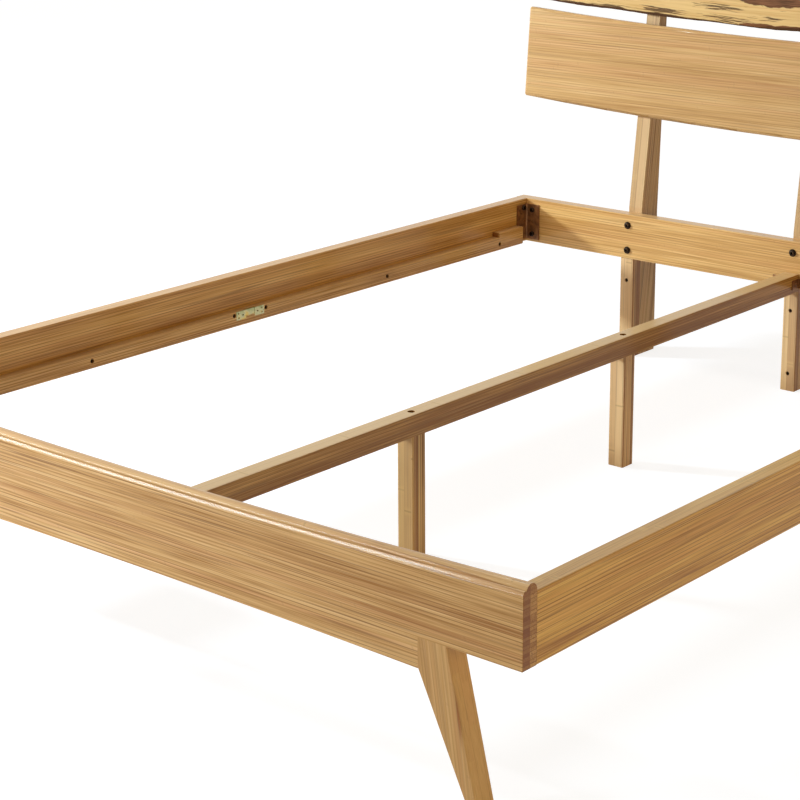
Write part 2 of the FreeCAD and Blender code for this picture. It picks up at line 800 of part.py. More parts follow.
def main():
    """Builds every node of the bed and writes it out."""
    os.makedirs("parts", exist_ok=True)
    write("foot_panel", foot_panel())
    write("foot_leg_tenons", [foot_leg_tenon(side, 0) for side in sides.values()])
    for name, side in sides.items():
        write("foot_leg_" + name, foot_leg(side))
        write("side_rail_" + name, side_rail(side))
        write("slat_cleat_" + name, slat_cleat(side))
        write("slat_stops_" + name, slat_stops(side))
        write("cleat_screws_" + name, cleat_screws(side))
        write("ledge_plate_" + name, ledge_plate(side))
        write("corner_bracket_head_" + name, corner_bracket(side, 1))
        write("corner_bracket_foot_" + name, corner_bracket(side, -1))
    write("corner_bolts", corner_bolts())
    write("head_rail", head_rail())
    write("head_rail_bolts", rail_bolts())
    write("head_rail_washers", rail_washers())
    for name, x in post_places.items():
        write("headboard_post_" + name, headboard_post(x))
        write("post_shoulder_" + name, post_shoulder(x))
    write("shoulder_screws", shoulder_screws())
    write("headboard_lower_panel", lower_panel())
    write("headboard_upper_panel", upper_panel())
    write("panel_screws", panel_screws())
    write("center_beam", center_beam())
    for name, y in leg_places.items():
        write("center_leg_" + name, center_leg(y))
    write("beam_bolts", beam_bolts())
    write("beam_brackets_head", beam_brackets(1))
    write("beam_brackets_foot", beam_brackets(-1))
    write("beam_bracket_screws", beam_bracket_screws())


main()
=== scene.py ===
"""Dresses the platform bed frame in laminated bamboo, steel fittings and a live-edge headboard slab."""
import logging
import math
import random
from dataclasses import dataclass, field
from enum import Enum
from typing import Any

import bmesh
import bpy
from bmesh.types import BMEdge, BMesh, BMVert
from bpy.types import Material, Node, NodeSocket, Object, World
from mathutils import Matrix, Vector


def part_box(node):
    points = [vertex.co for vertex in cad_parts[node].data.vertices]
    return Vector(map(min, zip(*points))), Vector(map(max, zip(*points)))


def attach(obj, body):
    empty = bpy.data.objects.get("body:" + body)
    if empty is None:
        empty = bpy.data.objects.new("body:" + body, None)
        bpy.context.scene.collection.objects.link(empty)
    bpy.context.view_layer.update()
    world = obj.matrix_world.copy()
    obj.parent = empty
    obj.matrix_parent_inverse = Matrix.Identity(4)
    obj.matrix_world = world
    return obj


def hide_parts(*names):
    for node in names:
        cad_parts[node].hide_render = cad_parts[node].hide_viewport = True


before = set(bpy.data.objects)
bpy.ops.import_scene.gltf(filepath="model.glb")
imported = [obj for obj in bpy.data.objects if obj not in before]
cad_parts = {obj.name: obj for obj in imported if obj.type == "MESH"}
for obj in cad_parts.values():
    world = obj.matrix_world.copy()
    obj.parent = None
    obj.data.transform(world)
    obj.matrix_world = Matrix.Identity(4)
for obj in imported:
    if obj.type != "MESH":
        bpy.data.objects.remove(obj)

log = logging.getLogger("bed")
Pair = tuple[float, float]
Triple = tuple[float, float, float]
Marks = tuple[tuple[float, float, float, float], ...]
BODY = "root"
MM = 0.001
WHITE = (1.0, 1.0, 1.0, 1.0)
# Settings of a Mix node for colours and of a MapRange node that eases in and out
RGBA = {"data_type": "RGBA"}
SMOOTH = {"interpolation_type": "SMOOTHSTEP"}
# The headboard leans back by this much, and its front faces this way
RAKE = math.radians(7.1)
TO_FRONT = Vector((0, -math.cos(RAKE), math.sin(RAKE)))
# CAD points this near each other are one point, and points this near a plane lie in it, in metres
SAME_POINT = 0.00001
SAME_PLANE = 0.0001


def linear(colour: str) -> tuple[float, float, float, float]:
    """Turns an sRGB hex colour into a linear one.

    Args:
        colour: Six hex digits after a hash.

    Returns:
        Linear red, green and blue with an alpha of one.
    """
    shares = [int(colour[place:place + 2], 16) / 255 for place in (1, 3, 5)]
    red, green, blue = [share / 12.92 if share <= 0.04045 else ((share + 0.055) / 1.055) ** 2.4
                        for share in shares]
    return red, green, blue, 1.0


@dataclass
class Tree:
    """The node tree of one material or world."""

    owner: Material | World

    def __post_init__(self) -> None:
        """Starts the tree empty."""
        self.owner.use_nodes = True
        self.owner.node_tree.nodes.clear()

    def add(self, kind: str, inputs: dict[int | str, Any] | None = None, **settings: Any) -> Node:
        """Adds a node with its settings and links.

        Args:
            kind: Blender's name for the node, after the words ShaderNode.
            inputs: What each input gets, by its name or number: a value, another node's output, or another
                node, which stands for its first output in use. A MapRange takes its value as 0, turns 1 into
                3 and 2 into 4, and a Mix takes its share as 0 and its colours as 6 and 7.
            **settings: Values of the node's own properties.

        Returns:
            The new node.
        """
        node = self.owner.node_tree.nodes.new("ShaderNode" + kind)
        for name, value in settings.items():
            setattr(node, name, value)
        for key, value in (inputs or {}).items():
            if isinstance(value, Node):
                value = next(output for output in value.outputs if output.enabled)
            if isinstance(value, NodeSocket):
                self.owner.node_tree.links.new(value, node.inputs[key])
            else:
                node.inputs[key].default_value = value
        return node


def mark_reach(tree: Tree, spans: list[tuple[Any, float, float]]) -> Node:
    """Measures how far the surface is from the middle of an oval mark.

    Args:
        tree: The material's tree.
        spans: The place in each direction, with the mark's middle and its half size there.

    Returns:
        A node that gives nothing in the middle and one at the rim.
    """
    parts = [tree.add("MapRange", {0: way, 1: middle - half, 2: middle + half, 3: -1.0, 4: 1.0}, clamp=False)
             for way, middle, half in spans]
    spot = tree.add("CombineXYZ", dict(enumerate(parts)))
    return tree.add("VectorMath", {0: spot}, operation="LENGTH")


class Stock(Enum):
    """How a piece was laid up: how pale its wide sides are, how dark its joints and how varied its strips."""

    BOARD = (0.35, 0.12, 0.22)
    # The beam's top takes the pale colour whole, so its lowered lightness paints shade on its sides only
    BEAM = (1.0, 0.22, 0.22)
    POST = (0.45, 0.32, 1.1)
    LEG = (0.30, 0.08, 0.22)


@dataclass(frozen=True)
class LaminatedBamboo:
    """Caramelised bamboo strips glued edge to edge in plies, sanded and given a satin lacquer.

    The strips' thin edges show as narrow lines on one pair of faces. Their wide sides show on the other pair,
    paler, with rounded joints of the cane. The ends are a brick pattern of darker blocks. A scar is a dark
    streak in the front face, given by its middle along and across the board, its half length and its half
    width. All sizes are in mm. The seams' widths are shares of a strip and of a ply.
    """

    name: str
    grain: Triple
    strip: Triple
    ply: Triple
    corner: Triple
    stock: Stock
    seed: float = 0.0
    shade: float = 1.0
    blueness: float = 1.0
    contrast: float = 1.0
    lightness: float = 0.0
    scars: Marks = ()
    coat_roughness: float = 0.13
    strip_pitch: float = 6.0
    ply_pitch: float = 16.6
    ply_offset: float = 0.8
    skin: float = 0.4
    joint_spacing: float = 255.0
    joint_slant: float = 2.6
    joint_line: Pair = (0.8, 2.8)
    joint_swelling: Pair = (2.0, 11.0)
    strip_seam: Pair = (0.2, 1.0)
    ply_seam: Pair = (0.045, 0.3)
    scar_depth: float = 7.0
    deep: str = "#9A6732"
    middle: str = "#C99B64"
    light: str = "#E2BA87"
    streak: str = "#77451B"
    wide: str = "#DAB692"
    end: str = "#7A4412"
    dark_mark: str = "#4A2C14"
    rosy: str = "#C98A62"
    scar: str = "#8C4C22"

    def tone(self, colour: str) -> tuple[float, float, float, float]:
        """Gives a colour as drawn on this board: its own tone plus painted light and shade."""
        red, green, blue, alpha = linear(colour)
        return red * self.shade, green * self.shade, blue * self.shade * self.blueness, alpha

    def material(self) -> Material:
        """Builds the lacquered bamboo of one piece."""
        tree = Tree(bpy.data.materials.new("laminated_bamboo_" + self.name))
        paleness, joint_darkness, strip_variety = self.stock.value
        place = tree.add("TexCoord")
        moved = tree.add("VectorMath", {0: place.outputs["Object"], 1: self.corner}, operation="SUBTRACT")
        along, across, deep = [
            tree.add("Math", {0: tree.add("VectorMath", {0: moved, 1: [part / MM for part in way]},
                                          operation="DOT_PRODUCT"), 1: self.skin}, operation="ADD")
            for way in (self.grain, self.strip, self.ply)]
        plies = tree.add("Math", {0: deep, 1: self.ply_pitch}, operation="DIVIDE")
        ply_number = tree.add("Math", {0: plies}, operation="FLOOR")
        ply_luck = tree.add("TexWhiteNoise", {0: tree.add("CombineXYZ", {0: ply_number, 1: self.seed})},
                            noise_dimensions="2D")
        strips = tree.add("Math", {0: across, 1: self.strip_pitch}, operation="DIVIDE")
        strips = tree.add("Math", {0: ply_luck, 1: self.ply_offset, 2: strips}, operation="MULTIPLY_ADD")
        strip_number = tree.add("Math", {0: strips}, operation="FLOOR")
        within = tree.add("Math", {0: strips}, operation="FRACT")
        luck = tree.add("TexWhiteNoise", {
            0: tree.add("CombineXYZ", {0: strip_number, 1: ply_number, 2: self.seed})})
        tone, phase, tint = tree.add("SeparateColor", {0: luck.outputs["Color"]}).outputs

        # Four layers, each as long, as wide and as deep as written, in mm. The drift belongs to one strip, so
        # its width and depth count strips and plies, and the cloud belongs to the whole board. Streaks and
        # fibres are about 0.5 mm wide and are drawn wider, to show
        layers = {}
        for layer, (length, width, depth, sideways, inwards) in {
                "drift": (220, 0.27, 0.19, strip_number, ply_number), "cloud": (620, 32, 60, across, deep),
                "streak": (380, 3.6, 3.6, across, deep), "fibre": (150, 1.9, 1.9, across, deep)}.items():
            spot = tree.add("CombineXYZ", {
                0: tree.add("Math", {0: along, 1: length}, operation="DIVIDE"),
                1: tree.add("Math", {0: sideways, 1: width}, operation="DIVIDE"),
                2: tree.add("Math", {0: inwards, 1: 1 / depth, 2: self.seed}, operation="MULTIPLY_ADD")})
            layers[layer] = tree.add("TexNoise", {"Vector": spot, "Scale": 1.0, "Detail": 1.5})

        # They add up to a lightness around a half, which runs from deep to light. Some strips are rosier
        weights = {"drift": 0.6, "cloud": 0.8, "streak": 0.7, "fibre": 1.0}
        balance = self.lightness + 0.5 - sum(weights.values()) / 2 - strip_variety / 2
        total = tree.add("Math", {0: tone, 1: strip_variety, 2: balance}, operation="MULTIPLY_ADD")
        for layer, weight in weights.items():
            total = tree.add("Math", {0: layers[layer], 1: weight, 2: total}, operation="MULTIPLY_ADD")
        reach = 0.45 / self.contrast
        colour: Any = self.tone(self.deep)
        for source, low, high, most, above, fade in (
                (total, 0.5 - reach, 0.5, 1.0, self.middle, "LINEAR"),
                (total, 0.5, 0.5 + reach, 1.0, self.light, "LINEAR"),
                (tint, 0.55, 1.0, 0.22, self.rosy, "SMOOTHSTEP"),
                (layers["streak"], 0.57, 0.68, 0.6 * self.contrast, self.streak, "SMOOTHSTEP")):
            share = tree.add("MapRange", {0: source, 1: low, 2: high, 4: most}, interpolation_type=fade)
            colour = tree.add("Mix", {0: share, 6: colour, 7: self.tone(above)}, **RGBA)
        for middle_along, middle_across, half_length, half_width in self.scars:
            near = mark_reach(tree, [(along, middle_along, half_length), (across, middle_across, half_width),
                                     (deep, 0.0, self.scar_depth)])
            share = tree.add("MapRange", {0: near, 1: 0.1, 3: 0.75, 4: 0.0}, **SMOOTH)
            colour = tree.add("Mix", {0: share, 6: colour, 7: self.tone(self.scar)}, **RGBA)

        # Which way the surface faces picks the strips' edges, their wide sides or their ends
        wide_turn, end_turn, flat_turn = [
            tree.add("Math", {0: tree.add("VectorMath", {0: place.outputs["Normal"], 1: way},
                                          operation="DOT_PRODUCT")}, operation="ABSOLUTE")
            for way in (self.strip, self.grain, self.ply)]
        on_wide, on_end = [tree.add("MapRange", {0: turn, 1: low, 2: 0.9}, **SMOOTH)
                           for turn, low in ((wide_turn, 0.45), (end_turn, 0.5))]
        paler = tree.add("Math", {0: on_wide, 1: paleness}, operation="MULTIPLY")
        colour = tree.add("Mix", {0: paler, 6: colour, 7: self.tone(self.wide)}, **RGBA)
        ply_parity = tree.add("Math", {0: ply_number, 1: 2.0}, operation="FLOORED_MODULO")
        end_tone = tree.add("Math", {0: tone, 1: 0.8, 2: ply_parity}, operation="MULTIPLY_ADD")
        end_share = tree.add("MapRange", {0: end_tone, 2: 1.8, 3: 0.05, 4: 0.68})
        end_colour = tree.add("Mix", {0: end_share, 6: self.tone(self.end), 7: colour}, **RGBA)
        colour = tree.add("Mix", {0: on_end, 6: colour, 7: end_colour}, **RGBA)

        # The cane's joints cross each strip as a short slanted dark line in a pale swelling
        run = tree.add("Math", {0: phase, 1: self.joint_spacing * 7, 2: along}, operation="MULTIPLY_ADD")
        run = tree.add("Math", {0: within, 1: self.joint_slant, 2: run}, operation="MULTIPLY_ADD")
        joint = tree.add("Math", {0: run, 1: self.joint_spacing / 2}, operation="PINGPONG")
        line, swelling = [tree.add("MapRange", {0: joint, 1: core, 2: rim, 3: 1.0, 4: 0.0}, **SMOOTH)
                          for core, rim in (self.joint_line, self.joint_swelling)]
        shown = tree.add("Math", {0: on_wide, 1: 0.25, 2: 0.03}, operation="MULTIPLY_ADD")
        swelling = tree.add("Math", {0: swelling, 1: shown}, operation="MULTIPLY")
        colour = tree.add("Mix", {0: swelling, 6: colour, 7: self.tone(self.light)}, **RGBA)
        darkness = tree.add("Math", {0: on_wide, 1: joint_darkness, 2: 0.1}, operation="MULTIPLY_ADD")
        not_end = tree.add("Math", {0: 1.0, 1: on_end}, operation="SUBTRACT")
        for part in (darkness, tint, not_end):
            line = tree.add("Math", {0: line, 1: part}, operation="MULTIPLY")
        colour = tree.add("Mix", {0: line, 6: colour, 7: linear(self.dark_mark)}, **RGBA)

        # Glue lines are hair thin and are drawn 1 mm wide to show in the picture. Those between strips come
        # and go along the board
        seams = []
        for steps, (width, most), turn in ((strips, self.strip_seam, wide_turn),
                                           (plies, self.ply_seam, flat_turn)):
            edge = tree.add("Math", {0: steps, 1: 0.5}, operation="PINGPONG")
            seam = tree.add("MapRange", {0: edge, 2: width, 3: most, 4: 0.0})
            crossed = tree.add("MapRange", {0: turn, 1: 0.4, 2: 0.8, 3: 1.0, 4: 0.0})
            seams.append(tree.add("Math", {0: seam, 1: crossed}, operation="MULTIPLY"))
        fading = tree.add("MapRange", {0: layers["drift"], 1: 0.42, 2: 0.60, 3: 0.1 * self.contrast,
                                       4: 0.85 * self.contrast})
        strip_seams = tree.add("Math", {0: seams[0], 1: fading}, operation="MULTIPLY")
        seam = tree.add("Math", {0: strip_seams, 1: seams[1]}, operation="MAXIMUM")
        colour = tree.add("Mix", {0: seam, 6: colour, 7: self.tone(self.streak)}, **RGBA)

        polish = tree.add("MapRange", {0: layers["fibre"], 1: 0.2, 2: 0.8, 3: 0.40, 4: 0.30})
        relief = tree.add("Math", {0: layers["fibre"], 1: seam}, operation="SUBTRACT")
        bump = tree.add("Bump", {"Strength": 0.12, "Distance": 0.3 * MM, "Height": relief})
        shader = tree.add("BsdfPrincipled", {
            "Base Color": colour, "Roughness": polish, "Normal": bump, "IOR": 1.45,
            "Specular IOR Level": 0.08, "Coat Weight": 0.4, "Coat Roughness": self.coat_roughness,
            "Coat IOR": 1.45})
        tree.add("OutputMaterial", {0: shader})
        return tree.owner


class Grain(Enum):
    """The fine pattern in a steel skin."""

    NOISE = "TexNoise"
    SPANGLE = "TexVoronoi"


@dataclass(frozen=True)
class SteelSkin:
    """Steel whose skin drifts from one tint to the next, with a finer grain in its sheen.

    The tints meet at the levels of a noise whose patches are tint_size mm wide. The sheen gives two levels of
    the grain, which is grain_size mm wide, and the roughness at each.
    """

    name: str
    tints: tuple[str, ...]
    levels: tuple[float, ...]
    tint_size: float
    tint_detail: float
    grain: Grain
    grain_size: float
    grain_detail: float
    sheen: tuple[float, float, float, float]
    metallic: float
    relief: float = 0.0

    def material(self) -> Material:
        """Builds the steel."""
        tree = Tree(bpy.data.materials.new(self.name))
        place = tree.add("TexCoord").outputs["Object"]
        drift, grain = [
            tree.add(kind.value, {"Vector": place, "Scale": 1 / (size * MM), "Detail": detail})
            for kind, size, detail in ((Grain.NOISE, self.tint_size, self.tint_detail),
                                       (self.grain, self.grain_size, self.grain_detail))]
        colour: Any = linear(self.tints[0])
        for tint, low, high in zip(self.tints[1:], self.levels, self.levels[1:]):
            share = tree.add("MapRange", {0: drift, 1: low, 2: high})
            colour = tree.add("Mix", {0: share, 6: colour, 7: linear(tint)}, **RGBA)
        rough = tree.add("MapRange", {0: grain, **dict(enumerate(self.sheen, 1))})
        look = {"Base Color": colour, "Metallic": self.metallic, "Roughness": rough}
        if self.relief:
            look["Normal"] = tree.add("Bump", {
                "Strength": self.relief, "Distance": 0.2 * MM, "Height": grain})
        tree.add("OutputMaterial", {0: tree.add("BsdfPrincipled", look)})
        return tree.owner


# Pressed sheet steel with a dark bronze plating, blotched by its bath. Its tumbled grain is under 1 mm wide
# and is drawn at 1.5 mm
BRONZED_STEEL = SteelSkin("bronzed_sheet_steel", ("#6A4427", "#94633A"), (0.35, 0.65), 12, 3,
                          Grain.NOISE, 1.5, 2, (0.3, 0.7, 0.34, 0.5), 0.4, relief=0.15)
# Turned and rolled steel with an oiled black oxide skin, rubbed brown in places
BLACK_OXIDE_STEEL = SteelSkin("black_oxide_steel", ("#20150D", "#5A3F26"), (0.45, 0.75), 3, 3,
                              Grain.NOISE, 3, 3, (0.3, 0.7, 0.3, 0.46), 0.8)
# Stamped steel with a yellow-passivated zinc plating, whose tint drifts from straw to green over its spangle
YELLOW_ZINC_STEEL = SteelSkin("yellow_zinc_plated_steel", ("#CDB265", "#BDB991", "#929B6C"),
                              (0.35, 0.5, 0.68), 25, 2, Grain.SPANGLE, 1.5, 0, (0.0, 0.8, 0.3, 0.48), 0.7)


@dataclass(frozen=True)
class LiveEdgeWood:
    """Pale flat-sawn sapwood with stained streaks and bark patches, its bark edges left on as grown.

    A mark is the middle and the half size of a stained place, in mm along the bed's width from its middle and
    up from the slab's lower edge. Bark lines and their soft rims are in mm too.
    """

    pale: str = "#D4AD76"
    honey: str = "#BD8F55"
    dark: str = "#482A10"
    patch: str = "#7E4E30"
    slab_height: float = 115.0
    layer_depth: float = 14.0
    bark_line: Pair = (2.5, 8.0)
    bark_rim: float = 0.7
    streak_marks: Marks = (
        (-430, 15, 75, 8), (-265, 36, 65, 10), (-250, 10, 85, 9), (-120, 24, 40, 6), (-560, 8, 60, 5),
        (90, 40, 90, 9), (330, 20, 110, 10), (560, 70, 80, 9), (-520, 78, 90, 9))
    patch_marks: Marks = (
        (-120, 62, 115, 17), (-60, 4, 190, 8), (260, 96, 140, 14), (520, 12, 120, 10), (-600, 100, 120, 12))

    def near(self, tree: Tree, along: NodeSocket, height: Node, marks: Marks) -> Any:
        """Tells how near the surface is to any of some marks.

        Args:
            tree: The material's tree.
            along: The place along the slab, in metres.
            height: The place up the slab, in metres.
            marks: The marks.

        Returns:
            A node that gives one in the middle of a mark, falling to zero beyond its rim.
        """
        total: Any = None
        for x, up, half_length, half_height in marks:
            rim = mark_reach(tree, [(along, x * MM, half_length * MM), (height, up * MM, half_height * MM)])
            part = tree.add("MapRange", {0: rim, 2: 1.4, 3: 1.0, 4: 0.0})
            total = tree.add("Math", {0: total, 1: part}, operation="MAXIMUM") if total else part
        return total

    def material(self) -> Material:
        """Builds the slab, whose UV runs along it in metres and from its lower edge up in shares."""
        tree = Tree(bpy.data.materials.new("live_edge_sapwood"))
        place = tree.add("TexCoord")
        along, share_up, _ = tree.add("SeparateXYZ", {0: place.outputs["UV"]}).outputs
        height = tree.add("Math", {0: share_up, 1: self.slab_height * MM}, operation="MULTIPLY")
        inwards = tree.add("SeparateXYZ", {0: place.outputs["Object"]}).outputs["Y"]
        # Four layers, each as long and as wide as written, in mm: growth rings, stained streaks, which are
        # about 1 mm wide and are drawn 2 mm wide, the places where they gather, and the rim of the bark
        layers = {}
        for layer, (length, width) in {"ring": (230, 6.0), "streak": (60, 2.2), "gather": (150, 26),
                                       "rim": (34, 14)}.items():
            spot = tree.add("CombineXYZ", {
                number: tree.add("Math", {0: way, 1: size * MM}, operation="DIVIDE")
                for number, (way, size) in enumerate(((along, length), (inwards, self.layer_depth),
                                                      (height, width)))})
            layers[layer] = tree.add("TexNoise", {"Vector": spot, "Scale": 1.0, "Detail": 3.0})
        rings = tree.add("MapRange", {0: layers["ring"], 1: 0.40, 2: 0.72})
        colour = tree.add("Mix", {0: rings, 6: linear(self.pale), 7: linear(self.honey)}, **RGBA)
        marked = self.near(tree, along, height, self.streak_marks)
        amount = tree.add("Math", {0: marked, 1: 0.36, 2: layers["streak"]}, operation="MULTIPLY_ADD")
        amount = tree.add("Math", {0: layers["gather"], 1: 0.25, 2: amount}, operation="MULTIPLY_ADD")
        streaks = tree.add("MapRange", {0: amount, 1: 0.80, 2: 0.88, 4: 0.9}, **SMOOTH)
        colour = tree.add("Mix", {0: streaks, 6: colour, 7: linear(self.dark)}, **RGBA)
        # Patches where the bark was sawn through, reddish and streaked
        patched = self.near(tree, along, height, self.patch_marks)
        amount = tree.add("Math", {0: layers["rim"], 1: 0.9, 2: patched}, operation="MULTIPLY_ADD")
        patches = tree.add("MapRange", {0: amount, 1: 0.82, 2: 0.90}, **SMOOTH)
        patch_tone = tree.add("MapRange", {0: layers["streak"], 1: 0.42, 2: 0.62})
        patch_colour = tree.add("Mix", {0: patch_tone, 6: linear(self.patch), 7: linear(self.dark)}, **RGBA)
        colour = tree.add("Mix", {0: patches, 6: colour, 7: patch_colour}, **RGBA)
        # A thin line of bark stays along both long edges
        rise = tree.add("Math", {0: height, 1: self.slab_height / 2 * MM}, operation="PINGPONG")
        thin, thick = self.bark_line
        width = tree.add("MapRange", {0: layers["gather"], 1: 0.35, 2: 0.65, 3: thin * MM, 4: thick * MM})
        inside = tree.add("Math", {0: width, 1: rise}, operation="SUBTRACT")
        bark = tree.add("MapRange", {0: inside, 1: -self.bark_rim * MM, 2: self.bark_rim * MM})
        colour = tree.add("Mix", {0: bark, 6: colour, 7: linear(self.dark)}, **RGBA)
        rough = tree.add("MapRange", {0: patches, 3: 0.38, 4: 0.6})
        bump = tree.add("Bump", {"Strength": 0.3, "Distance": 0.5 * MM, "Height": layers["streak"]})
        shader = tree.add("BsdfPrincipled", {
            "Base Color": colour, "Roughness": rough, "IOR": 1.45, "Specular IOR Level": 0.12, "Normal": bump,
            "Coat Weight": 0.12, "Coat Roughness": 0.2})
        tree.add("OutputMaterial", {0: shader})
        return tree.owner


def dress(name: str, material: Material) -> None:
    """Gives a CAD node one material.

    Args:
        name: The node's name.
        material: Its material.
    """
    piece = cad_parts[name]
    piece.data.materials.clear()
    piece.data.materials.append(material)
    log.info("dressed %s in %s", name, material.name)


def finish_piece(mesh: BMesh, name: str, material: Material, smooth_angle: float) -> Object:
    """Turns a bmesh into a finished object at the origin.

    Args:
        mesh: The bmesh, which is freed.
        name: The object's name.
        material: Its material.
        smooth_angle: Edges sharper than this many degrees stay sharp.

    Returns:
        The linked object.
    """
    for edge in mesh.edges:
        edge.smooth = not (edge.is_manifold and edge.calc_face_angle(0) > math.radians(smooth_angle))
    for face in mesh.faces:
        face.smooth = True
    data = bpy.data.meshes.new(name)
    mesh.to_mesh(data)
    mesh.free()
    data.materials.append(material)
    piece = bpy.data.objects.new(name, data)
    bpy.context.scene.collection.objects.link(piece)
    log.info("built %s with %d faces", name, len(data.polygons))
    return piece


def arc_points(start: Pair, through: Pair, end: Pair, count: int) -> list[Pair]:
    """Divides the arc through three points, in a plane.

    Args:
        start: Where the arc starts.
        through: A point on it.
        end: Where it ends.
        count: How many parts it has.

    Returns:
        The points, with both ends.
    """
    (ax, ay), (bx, by), (cx, cy) = start, through, end
    size = 2 * (ax * (by - cy) + bx * (cy - ay) + cx * (ay - by))
    squares = [x * x + y * y for x, y in (start, through, end)]
    centre_x = (squares[0] * (by - cy) + squares[1] * (cy - ay) + squares[2] * (ay - by)) / size
    centre_y = (squares[0] * (cx - bx) + squares[1] * (ax - cx) + squares[2] * (bx - ax)) / size
    radius = math.hypot(ax - centre_x, ay - centre_y)
    turns = [math.atan2(y - centre_y, x - centre_x) for x, y in (start, through, end)]
    sweep = (turns[2] - turns[0]) % math.tau
    if (turns[1] - turns[0]) % math.tau > sweep:
        sweep -= math.tau
    return [(centre_x + radius * math.cos(turns[0] + sweep * step / count),
             centre_y + radius * math.sin(turns[0] + sweep * step / count)) for step in range(count + 1)]


def bowed(start: Pair, end: Pair, bulge: float, count: int) -> list[Pair]:
    """Divides a shallow arc between two points that swells to the left of the way from one to the other.

    Args:
        start: Where it starts.
        end: Where it ends.
        bulge: How far its middle stands off the straight line.
        count: How many parts it has.

    Returns:
        The points, with both ends.
    """
    along, rise = end[0] - start[0], end[1] - start[1]
    size = math.hypot(along, rise)
    through = ((start[0] + end[0]) / 2 - rise / size * bulge, (start[1] + end[1]) / 2 + along / size * bulge)
    return arc_points(start, through, end, count)


@dataclass(frozen=True)
class FootPanel:
    """The panel across the foot, in mm.

    A bevelled shoulder and a crown run along its dipped top, and its middle is deeper and slightly arched.
    The bevel's foot, face and head each swell by so much and have so many parts.
    """

    front: float = -1100.86
    back: float = -1068.86
    end_x: float = 802.0
    step_x: float = 615.0
    low: float = 249.0
    middle_low: float = 201.0
    arch: float = 6.0
    shoulder: float = 352.0
    bevel_drop: float = 4.2
    bevel_depth: float = 3.7
    bevel_soft: float = 0.6
    bevel_head: float = 0.42
    bevel_bulges: tuple[tuple[float, int], ...] = ((0.08, 3), (0.025, 4), (0.1, 3))
    ledge: float = 6.0
    quirk: float = 2.4
    crown_height: float = 7.0
    crown_parts: int = 20
    back_drop: float = 5.0
    peak_share: float = 0.55
    end_rise: float = 14.5
    spacing: float = 18.0
    edge_break: float = 0.8
    weld: float = 0.001

    def profile(self) -> list[Pair]:
        """Lists the section's corners at the middle, from its front foot round to its back foot."""
        front, top, soft = self.front, self.shoulder, self.bevel_soft
        corners = [(front, top - self.bevel_drop - 2 * soft), (front + soft, top - self.bevel_drop),
                   (front + self.bevel_depth, top - self.bevel_head),
                   (front + self.bevel_depth + 2 * soft, top)]
        points = [(front, self.low), corners[0]]
        for start, end, (bulge, count) in zip(corners, corners[1:], self.bevel_bulges):
            points += bowed(start, end, bulge, count)[1:]
        points.append((front + self.ledge, top - self.quirk))
        points += arc_points((front + self.ledge + self.quirk / 2, top - self.quirk / 2),
                             (front + (self.back - front) * self.peak_share, top + self.crown_height),
                             (self.back, top - self.back_drop), self.crown_parts)
        return points + [(self.back, self.low)]

    def stations(self) -> list[Pair]:
        """Lists the places along the panel, each with the height of its lower edge."""
        outer = round((self.end_x - self.step_x) / self.spacing)
        inner = round(2 * self.step_x / self.spacing)
        width = self.end_x - self.step_x
        left = [(-self.end_x + width * step / outer, self.low) for step in range(outer + 1)]
        middle = [-self.step_x + 2 * self.step_x * step / inner for step in range(inner + 1)]
        return (left + [(x, self.middle_low + self.arch * (1 - (x / self.step_x) ** 2)) for x in middle]
                + [(-x, low) for x, low in reversed(left)])

    def build(self, material: Material) -> None:
        """Builds the panel and lets it stand for its CAD node.

        Args:
            material: The panel's bamboo.
        """
        mesh = bmesh.new()
        profile = self.profile()
        last = len(profile) - 1
        ring = {mesh.verts.new((0, y, z)): number for number, (y, z) in enumerate(profile)}
        corners = list(ring)
        edges = [mesh.edges.new((corners[number - 1], corners[number])) for number in range(len(corners))]
        for number, (x, low) in enumerate(self.stations()):
            if number:
                made = bmesh.ops.extrude_edge_only(mesh, edges=edges)["geom"]
                fresh = {}
                for vertex in (item for item in made if isinstance(item, BMVert)):
                    fresh[vertex] = next(ring[edge.other_vert(vertex)] for edge in vertex.link_edges
                                         if edge.other_vert(vertex) in ring)
                edges = [item for item in made if isinstance(item, BMEdge)
                         and all(vertex in fresh for vertex in item.verts)]
                ring = fresh
            rise = self.end_rise * (x / self.end_x) ** 2
            for vertex, place in ring.items():
                y, z = profile[place]
                vertex.co = Vector((x, y, low if place in (0, last) else z + rise)) * MM
        bmesh.ops.remove_doubles(mesh, verts=mesh.verts, dist=self.weld * MM)
        bmesh.ops.dissolve_degenerate(mesh, edges=mesh.edges, dist=self.weld * MM)
        rims = [edge for edge in mesh.edges if edge.is_boundary]
        bmesh.ops.holes_fill(mesh, edges=rims, sides=0)
        bmesh.ops.recalc_face_normals(mesh, faces=mesh.faces)
        bmesh.ops.bevel(mesh, geom=rims, offset=self.edge_break * MM, affect="EDGES", segments=2,
                        profile=0.5, material=-1, clamp_overlap=True)
        piece = finish_piece(mesh, "crowned_foot_panel", material, 10)
        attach(piece, BODY)
        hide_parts("foot_panel")


